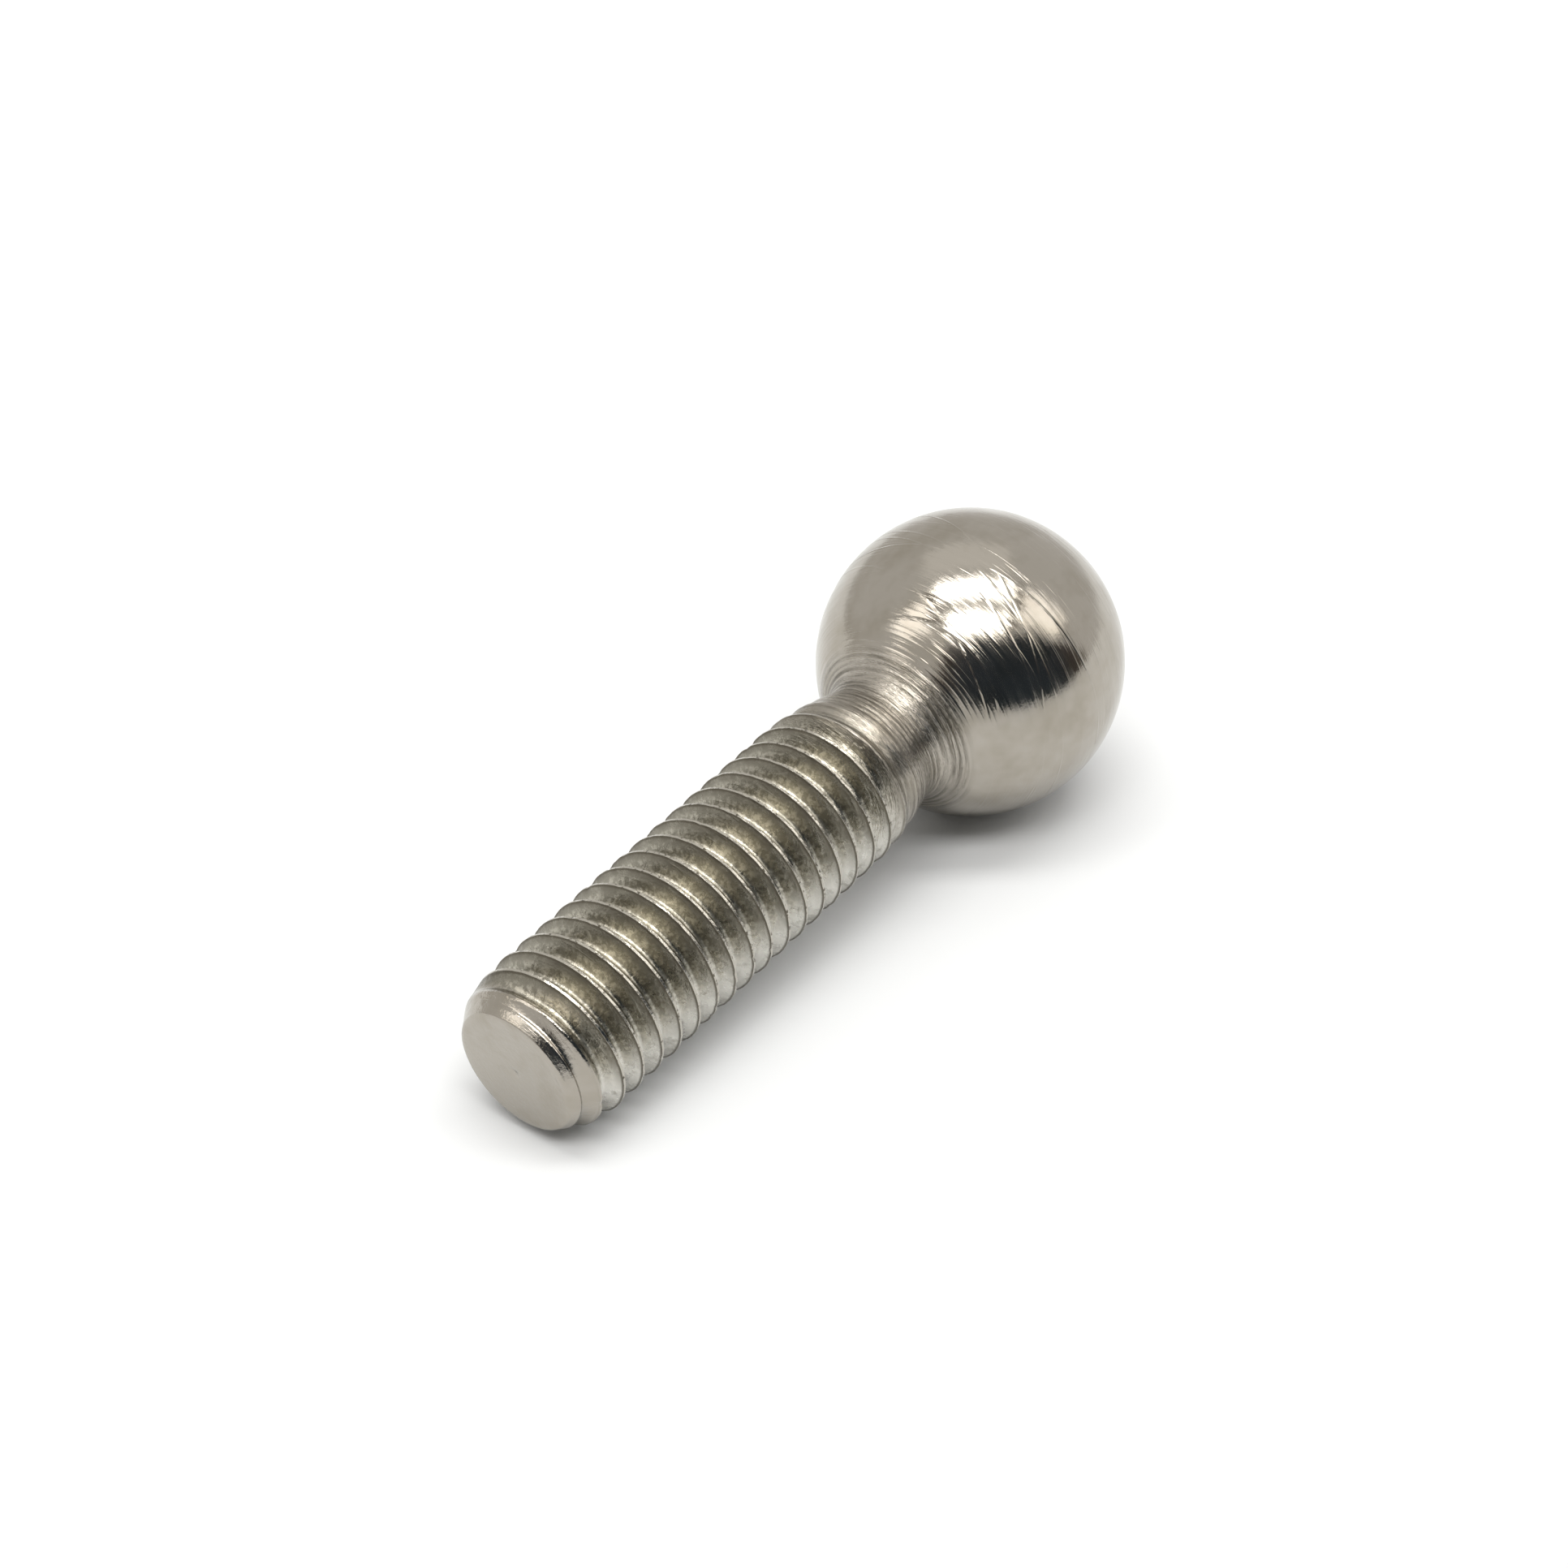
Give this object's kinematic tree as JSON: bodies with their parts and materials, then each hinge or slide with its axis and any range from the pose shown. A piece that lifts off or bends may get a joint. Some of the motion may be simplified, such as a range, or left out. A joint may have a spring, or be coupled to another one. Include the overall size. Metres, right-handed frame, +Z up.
{
  "type": "ball stud",
  "caption": "Ball-ended threaded stud: a turned ball on a short neck with a coarse metric thread and a chamfered flat end, cut from one nickel-plated steel bar.",
  "frame": {"origin": "centre of the bounding box's underside, in the plane that the stud lies on", "axes": "+Z up; the stud lies on its ball and on one crest of its thread, its threaded end towards -X and dipping 6.57 degrees below level, its ball towards +X; its axis lies in the plane y = 0"},
  "size_m": [0.0404, 0.0148, 0.0147],
  "materials": {
    "nickel_plate": "bright nickel plate over turned steel, with fine tool rings, scratches and nicked thread crests"
  },
  "bodies": {
    "root": {"ball_stud": "nickel_plate"}
  },
  "joints": []
}
